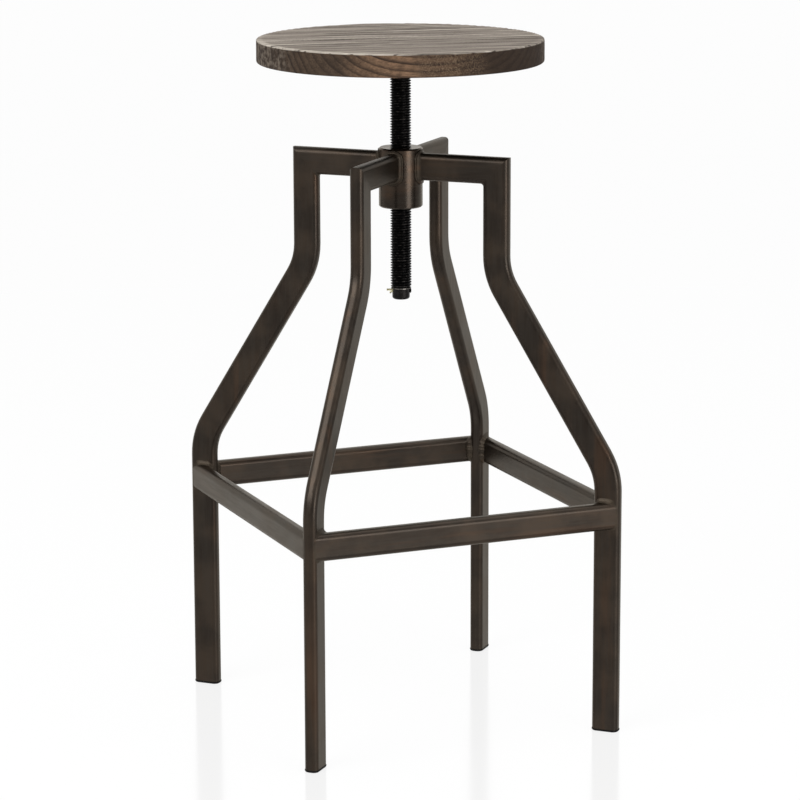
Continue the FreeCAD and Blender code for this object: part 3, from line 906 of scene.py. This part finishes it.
@dataclass
class WoodSeat:
    """The round wooden seat: brushed relief on top, growth rings round its rim and dents along its edge."""

    grain_turn: float = -9.1
    cells: int = 236
    edge_radius: float = 2.0 * MM
    edge_steps: int = 5
    rim_steps: int = 14
    pith_across: float = -185.0 * MM
    pith_depth: float = -36.0 * MM
    drift: Wander = Wander(9.0 * MM, 5.0, 3.0, start=0.7)
    dip: Wander = Wander(10.0 * MM, 4.0, 2.0, start=4.1)
    bend: Wander = Wander(2.2 * MM, 9.0, 34.0, 34.0)
    ripple: Wander = Wander(0.5 * MM, 40.0, 120.0, 120.0)
    ring_width: float = 7.6
    late_from: Pair = (0.35, 0.9)
    late_until: Pair = (0.93, 1.0)
    relief: float = 0.32 * MM
    rim_relief: float = 0.5
    facing_up: float = 0.7
    settle: float = 0.3 * MM
    swell: float = 0.25 * MM
    swell_rate: float = 22.0
    plain_below: float = 1.0 * MM
    edge_inset: Pair = (8.0 * MM, 2.0 * MM)
    edge_depth: Pair = (9.0 * MM, 2.0 * MM)
    edge_wear: float = 0.2 * MM
    edge_rate: float = 70.0
    dents: int = 11
    dent_reach: Pair = (2.0, 9.0)
    dent_depth: Pair = (0.15, 0.45)
    dent_floor: float = 0.25
    seed: int = 11
    ring_attribute: str = "ring_mm"

    def __post_init__(self) -> None:
        """Read the seat's place and size from its CAD node."""
        low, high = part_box("seat")
        self.low, self.top = low.z, high.z
        self.radius = (high.x - low.x) / 2.0

    def build(self) -> bpy.types.Object:
        """Make the seat and let it stand for its CAD node.

        Returns:
            The seat.
        """
        bm = self.blank()
        self.carve(bm)
        finish = BrushedWood(
            "brushed_wood", self.grain_turn, self.ring_attribute, self.ring_width, self.top, self.radius
        )
        made = new_piece("wooden_seat", bm, finish.material(), "seat_assembly")
        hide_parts("seat")
        return made

    def blank(self) -> bmesh.types.BMesh:
        """Make the plain round blank with rounded edges and a flat underside.

        Returns:
            The blank's mesh.
        """
        bm = bmesh.new()
        bmesh.ops.create_grid(bm, x_segments=self.cells, y_segments=self.cells, size=1.0)
        inner = self.radius - self.edge_radius
        for vert in bm.verts:
            x, y = vert.co.x, vert.co.y
            vert.co.x = inner * x * math.sqrt(1.0 - y * y / 2.0)
            vert.co.y = inner * y * math.sqrt(1.0 - x * x / 2.0)
            vert.co.z = self.top
        edges = [e for e in bm.edges if e.is_boundary]
        reach, height = inner, self.top
        for next_reach, next_height in self.profile():
            verts, edges = grow_loop(bm, edges)
            share = next_reach / reach
            bmesh.ops.scale(bm, vec=(share, share, 1.0), verts=verts)
            bmesh.ops.translate(bm, vec=(0.0, 0.0, next_height - height), verts=verts)
            reach, height = next_reach, next_height
        bmesh.ops.edgeloop_fill(bm, edges=edges)
        bmesh.ops.recalc_face_normals(bm, faces=bm.faces[:])
        return bm

    def profile(self) -> list[Pair]:
        """Draw the rim from the top's edge down to the underside's.

        Returns:
            The radius and height of each step.
        """
        edge = self.edge_radius
        inner, upper, lower = self.radius - edge, self.top - edge, self.low + edge
        bends = [math.pi / 2.0 * (i + 1) / self.edge_steps for i in range(self.edge_steps)]
        shares = [(i + 1) / self.rim_steps for i in range(self.rim_steps)]
        made = [(inner + edge * math.sin(b), upper + edge * math.cos(b)) for b in bends]
        made += [(self.radius, upper + (lower - upper) * share) for share in shares]
        made += [(inner + edge * math.cos(b), lower - edge * math.sin(b)) for b in bends]
        return made

    def ring(self, point: Vector) -> float:
        """How far a point lies from the tree's middle, with the wander of real growth.

        Args:
            point: The point on the blank.

        Returns:
            The distance in millimetres.
        """
        angle = math.radians(self.grain_turn)
        along = point.x * math.cos(angle) + point.y * math.sin(angle)
        across = point.y * math.cos(angle) - point.x * math.sin(angle)
        up = point.z - self.top
        place = (along, across, up)
        out = across - self.pith_across + self.drift.at(*place)
        deep = up + self.pith_depth + self.dip.at(*place)
        return (math.hypot(out, deep) + self.bend.at(*place) + self.ripple.at(*place)) / MM

    def ridge(self, ring: float) -> float:
        """How hard the wood is at a ring, from 0 in the soft early wood to 1 in the late wood."""
        share = ring / self.ring_width % 1.0
        return smooth_step(*self.late_from, share) * (1.0 - smooth_step(*self.late_until, share))

    def carve(self, bm: bmesh.types.BMesh) -> None:
        """Brush the soft wood away, dent the top edge and note each point's growth ring.

        Args:
            bm: The blank, which is changed.
        """
        draw = random.Random(self.seed)
        dents = [
            (
                draw.uniform(0.0, 2.0 * math.pi),
                draw.uniform(*self.dent_reach) * MM,
                draw.uniform(*self.dent_depth) * MM,
            )
            for _ in range(self.dents)
        ]
        note = bm.verts.layers.float.new(self.ring_attribute)
        bm.normal_update()
        moved = []
        for vert in bm.verts:
            ring = self.ring(vert.co)
            vert[note] = ring
            if vert.co.z < self.low + self.plain_below:
                continue
            share = 1.0 if vert.normal.z > self.facing_up else self.rim_relief
            sunk = self.relief * (1.0 - self.ridge(ring)) * share
            sunk += self.swell * (0.5 + 0.5 * noise.noise(vert.co * self.swell_rate)) - self.settle
            sunk += self.edge_loss(vert.co, dents)
            moved.append((vert, vert.normal * sunk))
        for vert, way in moved:
            vert.co -= way

    def edge_loss(self, point: Vector, dents: list[tuple[float, float, float]]) -> float:
        """How much of the top edge is worn or knocked away at a point.

        Args:
            point: The point on the blank.
            dents: The angle, half length and depth of each dent.

        Returns:
            The depth of wood that is gone there.
        """
        reach = math.hypot(point.x, point.y)
        near = smooth_step(*(self.radius - inset for inset in self.edge_inset), reach)
        near *= smooth_step(*(self.top - depth for depth in self.edge_depth), point.z)
        if near <= 0.0:
            return 0.0
        angle = math.atan2(point.y, point.x)
        lost = self.edge_wear * (0.5 + 0.5 * noise.noise(point * self.edge_rate))
        for where, length, depth in dents:
            off = abs((angle - where + math.pi) % (2.0 * math.pi) - math.pi) * self.radius
            lost = max(lost, depth * smooth_step(length, length * self.dent_floor, off))
        return near * lost


@dataclass
class SeatHardware:
    """The plate and wood screws under the seat."""

    plate: PlainMetal = PlainMetal("plate_steel_black", tone(52, 48, 44), tone(34, 31, 29), gloss=(0.4, 0.6))
    screws: PlainMetal = PlainMetal("wood_screw_zinc", tone(150, 149, 146), tone(96, 93, 88))

    def dress(self) -> None:
        """Give the plate and its screws their finishes."""
        dress(["seat_plate"], self.plate.material())
        dress(["plate_screws"], self.screws.material())


@dataclass
class LiftScrew:
    """The spindle with its stop pin and washer."""

    thread: BlackThread = BlackThread()
    pin: PinMetal = PinMetal()
    washer: PlainMetal = PlainMetal("washer_zinc", tone(112, 108, 103), tone(66, 62, 58))

    def dress(self) -> None:
        """Give the spindle, pin and washer their finishes."""
        dress(["lift_screw"], self.thread.material())
        dress(["stop_pin"], self.pin.material())
        dress(["stop_washer"], self.washer.material())


@dataclass
class TubeFrame:
    """The hub, arms, legs, stretchers and foot plugs."""

    legs: BronzedSteel = BronzedSteel("bronzed_steel_upright", Lay.UPRIGHT)
    hub: BronzedSteel = BronzedSteel(
        "bronzed_steel_round",
        Lay.ROUND,
        brown=tone(66, 52, 41),
        rusty=Patches(36.0, 0.55, 0.78, 4.0),
        gloss=(0.24, 0.36),
    )
    feet: MouldedPlastic = MouldedPlastic()
    arm_gloss: Pair = (0.38, 0.5)

    def dress(self) -> None:
        """Give each tube a finish that runs along it, and the foot plugs theirs."""
        dress([f"leg_{corner.label}" for corner in Corner], self.legs.material())
        dress(["hub"], self.hub.material())
        for lay, corners in (
            (Lay.RISING, (Corner.BACK_RIGHT, Corner.FRONT_LEFT)),
            (Lay.FALLING, (Corner.BACK_LEFT, Corner.FRONT_RIGHT)),
        ):
            finish = BronzedSteel(f"bronzed_steel_{lay.label}", lay, gloss=self.arm_gloss).material()
            dress([f"arm_{corner.label}" for corner in corners], finish)
        for lay, sides in ((Lay.ALONG_X, (Side.FRONT, Side.BACK)), (Lay.ALONG_Y, (Side.RIGHT, Side.LEFT))):
            finish = BronzedSteel(f"bronzed_steel_{lay.label}", lay).material()
            dress([f"stretcher_{side.label}" for side in sides], finish)
        dress([f"foot_plug_{corner.label}" for corner in Corner], self.feet.material())


@dataclass
class FilletWeld:
    """A run of weld in the notch between two pieces."""

    lip: float = 0.0
    lip_from: Pair = (0.72, 0.98)
    lip_drop: float = 0.5
    segments: int = 24
    sink: float = 0.03
    slack: float = 1.2
    core: float = 0.2
    past_toe: float = 0.9

    def section(self, hollow: float) -> bmesh.types.BMesh:
        """Make the plain section: its root near the origin, its toes at 1 on the two axes and its face between.

        The second toe ends in a lip that stands off its piece.

        Args:
            hollow: The power that shapes the face: flat at 2, hollow above it and full below it.

        Returns:
            The section's mesh, in the XY plane.
        """
        bm = bmesh.new()
        bmesh.ops.create_circle(bm, segments=self.segments, radius=1.0)
        for vert in bm.verts:
            x, y = vert.co.x, vert.co.y
            if min(x, y) > -TINY:
                vert.co.x = max(x, 0.0) ** hollow - self.sink + self.lip * smooth_step(*self.lip_from, y)
                vert.co.y = max(y, 0.0) ** hollow - self.sink
            elif y > self.past_toe:
                vert.co.x = -self.sink
                vert.co.y = 1.0 + self.lip_drop * self.lip
            else:
                vert.co *= self.core
        return bm

    def reshape(self, verts: list[bmesh.types.BMVert], power: float) -> None:
        """Change how hollow the plain section's face is.

        Args:
            verts: The section's vertices, in its own plane.
            power: The new hollow over the old one.
        """
        for vert in verts:
            if min(vert.co.x, vert.co.y) > -self.slack * self.sink:
                vert.co.x = max(vert.co.x + self.sink, 0.0) ** power - self.sink
                vert.co.y = max(vert.co.y + self.sink, 0.0) ** power - self.sink

    def sweep(self, stations: list[Station], closed: bool) -> bmesh.types.BMesh:
        """Draw the section along the seam.

        Args:
            stations: The seam.
            closed: Whether the last station joins the first.

        Returns:
            The weld's mesh.
        """
        last = len(stations) - 1
        places = []
        for i, station in enumerate(stations):
            behind = stations[i - 1 if i or closed else 0].root
            ahead = stations[(i + 1) % len(stations) if i < last or closed else last].root
            places.append(station.place((ahead - behind).normalized() * MM))
        bm = self.section(stations[0].hollow)
        bmesh.ops.transform(bm, matrix=places[0], verts=bm.verts[:])
        first = bm.edges[:]
        edges = first
        for i, (before, after) in enumerate(zip(places, places[1:])):
            verts, edges = grow_loop(bm, edges)
            power = stations[i + 1].hollow / stations[i].hollow
            bmesh.ops.transform(bm, matrix=before.inverted(), verts=verts)
            if power != 1.0:
                self.reshape(verts, power)
            bmesh.ops.transform(bm, matrix=after, verts=verts)
        if closed:
            bmesh.ops.bridge_loops(bm, edges=first + edges)
        else:
            for loop in (first, edges):
                bmesh.ops.edgeloop_fill(bm, edges=loop)
        bmesh.ops.recalc_face_normals(bm, faces=bm.faces[:])
        return bm


@dataclass
class FrameWelds:
    """The welds round the arms at the hub, inside the mitres and round the stretchers' ends."""

    tube_width: float = 31.0 * MM
    tube_thickness: float = 16.0 * MM
    tube_corner: float = 6.4 * MM
    neck_radius: float = 117.0 * MM
    foot_radius: float = 252.5 * MM
    pace: float = 0.65 * MM
    arm_toe: float = 5.0 * MM
    hub_toe: float = 4.4 * MM
    hub_toe_above: float = 3.5 * MM
    mitre_toe: float = 3.4 * MM
    hub_lip: float = 0.34
    rail_toe: float = 5.6 * MM
    rail_toe_above: float = 6.6 * MM
    rail_toe_below: float = 1.5 * MM
    flush_toe: float = 0.3 * MM
    flush_toe_on_leg: float = 2.0 * MM
    rail_hollow: float = 1.45
    rail_hollow_above: float = 3.2
    rail_lump: float = 0.45
    calm_above: float = 0.6
    ground_side: Pair = (-0.95, -0.2)
    hub_lump: float = 0.225
    mitre_end: float = 0.12
    mitre_fade: Pair = (0.15, 0.95)
    lumps: tuple[Pair, Pair] = ((190.0, 0.75), (430.0, 0.45))
    finish: BronzedSteel = BronzedSteel(
        "bronzed_weld",
        Lay.ROUND,
        brown=tone(60, 52, 43),
        grey=tone(68, 61, 52),
        rusty=Patches(84.0, 0.55, 0.78, 4.0),
        gloss=(0.46, 0.6),
    )

    def __post_init__(self) -> None:
        """Read the hub's, arms' and stretchers' places from their CAD nodes, and make the welds' finish."""
        low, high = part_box("hub")
        self.hub_radius = (high.x - low.x) / 2.0
        low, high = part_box("arm_back_right")
        self.arm_middle = (low.z + high.z) / 2.0
        self.arm_bottom = low.z
        self.rail_low, self.rail_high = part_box("stretcher_front")
        self.material = self.finish.material()
        loop = rounded_loop(self.tube_thickness, self.tube_width, self.tube_corner, self.pace)
        self.outline = list(zip(loop, outward_normals(loop)))

    def add(self, name: str, stations: list[Station], closed: bool, weld: FilletWeld) -> None:
        """Make one weld and let it ride on the frame.

        Args:
            name: The weld's name.
            stations: Its seam.
            closed: Whether the seam closes on itself.
            weld: Its section.
        """
        made = new_piece(name, weld.sweep(stations, closed), self.material, "frame")

    def build(self) -> None:
        """Make all the welds."""
        ridged, plain = FilletWeld(self.hub_lip), FilletWeld()
        for corner in Corner:
            self.add(f"hub_weld_{corner.label}", self.hub_seam(corner), True, ridged)
            self.add(f"mitre_weld_{corner.label}", self.mitre_seam(corner), False, plain)
        for side in Side:
            for end, mirror in (("a", 1.0), ("b", -1.0)):
                self.add(f"stretcher_weld_{side.label}_{end}", self.rail_seam(side, mirror), True, plain)

    def uneven(self, point: Vector) -> float:
        """A hand-made weld's uneven thickness at a point, from -1 to 1."""
        return sum(noise.noise(point * rate) * size for rate, size in self.lumps)

    def hub_seam(self, corner: Corner) -> list[Station]:
        """The seam round an arm's end on the hub.

        Args:
            corner: The arm's corner.

        Returns:
            Its stations.
        """
        outward = corner.outward
        level = UP.cross(outward)
        made = []
        for point, normal in self.outline:
            height = self.arm_middle + point.y
            spread = math.asin(point.x / self.hub_radius)
            root = outward * (self.hub_radius * math.cos(spread)) + level * point.x + UP * height
            above = self.hub_toe_above if normal.y > 0.0 else self.hub_toe
            spread += normal.x * self.hub_toe / self.hub_radius
            on_hub = (outward * math.cos(spread) + level * math.sin(spread)) * self.hub_radius
            on_hub += UP * (height + normal.y * above)
            station = Station(root, root + outward * self.arm_toe, on_hub)
            made.append(station.grown(1.0 + self.hub_lump * self.uneven(root)))
        return made

    def mitre_seam(self, corner: Corner) -> list[Station]:
        """The seam in the inner corner between an arm and its leg.

        Args:
            corner: The arm's corner.

        Returns:
            Its stations, thinner towards both ends.
        """
        outward = corner.outward
        level = UP.cross(outward)
        lift = self.tube_width / 2.0 - self.tube_corner
        pairs = [(point, normal) for point, normal in self.outline if point.y < -lift]
        pairs.sort(key=lambda pair: math.atan2(pair[1].x, -pair[1].y))
        made = []
        for point, normal in pairs:
            depth = point.y + self.tube_width / 2.0
            reach = self.neck_radius - self.tube_width / 2.0 + depth
            root = outward * reach + level * point.x + UP * (self.arm_bottom + depth)
            fade = smooth_step(*self.mitre_fade, -normal.y)
            toe = self.mitre_toe * (self.mitre_end + (1.0 - self.mitre_end) * fade)
            made.append(Station(root, root - outward * toe, root - UP * toe))
        return made

    def leg_skin(self, along: float) -> tuple[float, float]:
        """A point on a leg's section.

        Args:
            along: The way round the section from the middle of its wide side, outwards from the screw.

        Returns:
            The point's distance from the leg's middle along the wide side and off it.
        """
        flat = self.tube_width / 2.0 - self.tube_corner
        past = max(abs(along) - flat, 0.0) / self.tube_corner
        run = min(abs(along), flat) + self.tube_corner * math.sin(past)
        off = self.tube_thickness / 2.0 - self.tube_corner * (1.0 - math.cos(past))
        return math.copysign(run, along), off

    def rail_seam(self, side: Side, mirror: float) -> list[Station]:
        """The seam round a stretcher's end on a leg.

        Args:
            side: The stretcher.
            mirror: 1 for its right end, -1 for its left.

        Returns:
            Its stations: full and lumpy on the inside, hollow above, and ground flush on the outside.
        """
        outward = Vector((1.0, -1.0, 0.0)).normalized()
        off_leg = Vector((-1.0, -1.0, 0.0)).normalized()
        outer = self.rail_low.y
        middle = (self.rail_low.z + self.rail_high.z) / 2.0
        flat = self.tube_width / 2.0 - self.tube_corner
        turn = Matrix.Rotation(math.radians(side.value), 3, "Z") @ Matrix.Diagonal((mirror, 1.0, 1.0))
        made = []
        for point, normal in self.outline:
            across = outer + self.tube_thickness / 2.0 + point.x
            end = Vector((self.rail_high.x - (across - outer), across, middle + point.y))
            along = end.dot(outward) - self.foot_radius
            past = math.asin(min(max(abs(along) - flat, 0.0) / self.tube_corner, 1.0))
            along = math.copysign(min(abs(along), flat) + past * self.tube_corner, along)
            run, off = self.leg_skin(along)
            root = outward * (self.foot_radius + run) + off_leg * off + UP * end.z
            above = max(normal.y, 0.0)
            full = self.rail_toe + (self.rail_toe_above - self.rail_toe) * above
            full += (self.rail_toe_below - self.rail_toe) * max(-normal.y, 0.0)
            inward = smooth_step(*self.ground_side, normal.x)
            toe = self.flush_toe + (full - self.flush_toe) * inward
            toe_on_leg = self.flush_toe_on_leg + (full - self.flush_toe_on_leg) * inward
            run, off = self.leg_skin(along - normal.x * toe_on_leg)
            on_leg = outward * (self.foot_radius + run) + off_leg * off
            on_leg += UP * (end.z + normal.y * toe_on_leg)
            hollow = self.rail_hollow + (self.rail_hollow_above - self.rail_hollow) * above
            station = Station(turn @ root, turn @ (end - Vector((toe, 0.0, 0.0))), turn @ on_leg, hollow)
            lump = self.rail_lump * inward * (1.0 - self.calm_above * above)
            made.append(station.grown(1.0 + lump * self.uneven(station.root)))
        return made


class Lamp(Named):
    """The soft square lamps: where each hangs, its side and its power in watts."""

    TOP_LIGHT = ((0.5, -0.2, 3.1), 2.4, 36.0)
    KEY_LIGHT = ((-2.5, -1.1, 2.2), 2.0, 74.0)
    STRIP_LIGHT = ((1.1, -2.9, 0.62), 1.2, 34.0)

    def hang(self, aim: Vector) -> None:
        """Hang the lamp.

        Args:
            aim: The point that it is turned to.
        """
        place, size, power = self.value
        data = bpy.data.lights.new(self.label, "AREA")
        data.shape = "SQUARE"
        data.size = size
        data.energy = power
        lamp = bpy.data.objects.new(self.label, data)
        lamp.location = place
        lamp.rotation_euler = (aim - Vector(place)).to_track_quat("-Z", "Y").to_euler()
        bpy.context.scene.collection.objects.link(lamp)


@dataclass
class Studio:
    """The pale floor, the soft light and the camera."""

    floor_half: float = 9.0
    floor_cells: int = 8
    floor_white: float = 0.84
    floor_colour: Colour = (0.98, 0.98, 0.98, 1.0)
    floor_roughness: float = 0.12
    floor_metal: float = 0.6
    ambient: float = 0.4
    dusk: Pair = (0.03, 0.42)
    sheen: Pair = (0.4, 1.0)
    backdrop: Pair = (-0.3, 0.2)
    backdrop_towards: float = 67.4
    aim_height: float = 0.45
    camera_turn: float = -22.605
    camera_distance: float = 3.7803
    camera_height: float = 1.1946
    camera_pitch: float = 12.342
    camera_yaw: float = -0.024
    camera_roll: float = -0.171
    camera_lens: float = 150.964
    camera_sensor: float = 36.0

    def build(self) -> None:
        """Set up everything that isn't the stool."""
        self.floor()
        self.world()
        for lamp in Lamp:
            lamp.hang(UP * self.aim_height)
        self.camera()

    def seen(self, board: Board) -> Source:
        """Tell the rays that show the background itself from those that only carry light.

        Args:
            board: The board of the floor's material.

        Returns:
            1 for the first kind and 0 for the second.
        """
        rays = board.add("LightPath").outputs
        straight = board.calc("MAXIMUM", rays["Is Camera Ray"], rays["Is Glossy Ray"])
        return board.calc("MAXIMUM", straight, rays["Is Transmission Ray"])

    def floor(self) -> None:
        """Lay a wide white floor with a faint gloss, which keeps the stool's shadow."""
        bm = bmesh.new()
        cells = self.floor_cells
        bmesh.ops.create_grid(bm, x_segments=cells, y_segments=cells, size=self.floor_half)
        mesh = bpy.data.meshes.new("studio_floor")
        bm.to_mesh(mesh)
        bm.free()
        made = bpy.data.materials.new("studio_floor")
        made.use_nodes = True
        board = Board(made.node_tree)
        white = board.add("Emission", {"Color": WHITE, "Strength": 1.0})
        inputs = {
            "Base Color": self.floor_colour,
            "Roughness": self.floor_roughness,
            "Metallic": self.floor_metal,
        }
        sheet = board.add("BsdfPrincipled", inputs)
        share = board.times(self.seen(board), self.floor_white)
        mixed = board.add("MixShader", {0: share, 1: sheet.outputs[0], 2: white.outputs[0]})
        board.add("OutputMaterial", {"Surface": mixed.outputs[0]})
        mesh.materials.append(made)
        floor = bpy.data.objects.new("studio_floor", mesh)
        bpy.context.scene.collection.objects.link(floor)

    def world(self) -> None:
        """Light the stool evenly from all round, show plain white behind it and mirror a dusky near side."""
        made = bpy.data.worlds.new("studio")
        made.use_nodes = True
        board = Board(made.node_tree)
        way = board.add("TexCoord").outputs["Generated"]
        angle = math.radians(self.backdrop_towards)
        away = (math.cos(angle), math.sin(angle), 0.0)
        behind = board.add("VectorMath", {0: way, 1: away}, operation="DOT_PRODUCT").outputs["Value"]
        high = board.step(board.parts(way)["Z"], *self.dusk)
        bright = board.calc("MAXIMUM", high, board.step(behind, *self.backdrop))
        rays = board.add("LightPath").outputs
        strength = board.mix(rays["Is Glossy Ray"], self.ambient, board.between(bright, *self.sheen))
        plain = board.calc("MAXIMUM", rays["Is Camera Ray"], rays["Is Transmission Ray"])
        light = board.add("Background", {"Color": WHITE, "Strength": board.mix(plain, strength, 1.0)})
        board.add("OutputWorld", {"Surface": light.outputs[0]})
        bpy.context.scene.world = made

    def camera(self) -> None:
        """Set the camera at the photograph's place."""
        data = bpy.data.cameras.new("camera")
        data.sensor_width = self.camera_sensor
        data.lens = self.camera_lens
        camera = bpy.data.objects.new("camera", data)
        around = Matrix.Rotation(math.radians(self.camera_turn), 4, "Z")
        place = around @ Vector((0.0, -self.camera_distance, self.camera_height))
        turns = Euler((math.radians(90.0 - self.camera_pitch), 0.0, -math.radians(self.camera_yaw)))
        roll = Matrix.Rotation(math.radians(self.camera_roll), 4, "Z")
        camera.matrix_world = Matrix.Translation(place) @ around @ turns.to_matrix().to_4x4() @ roll
        bpy.context.scene.collection.objects.link(camera)
        bpy.context.scene.camera = camera
        bpy.context.scene.view_settings.view_transform = "Standard"


def main() -> None:
    """Build the stool's looks in order, then the studio."""
    logging.basicConfig(level=logging.INFO, format="%(message)s")
    WoodSeat().build()
    SeatHardware().dress()
    LiftScrew().dress()
    TubeFrame().dress()
    FrameWelds().build()
    Studio().build()


if __name__ == "__main__":
    main()
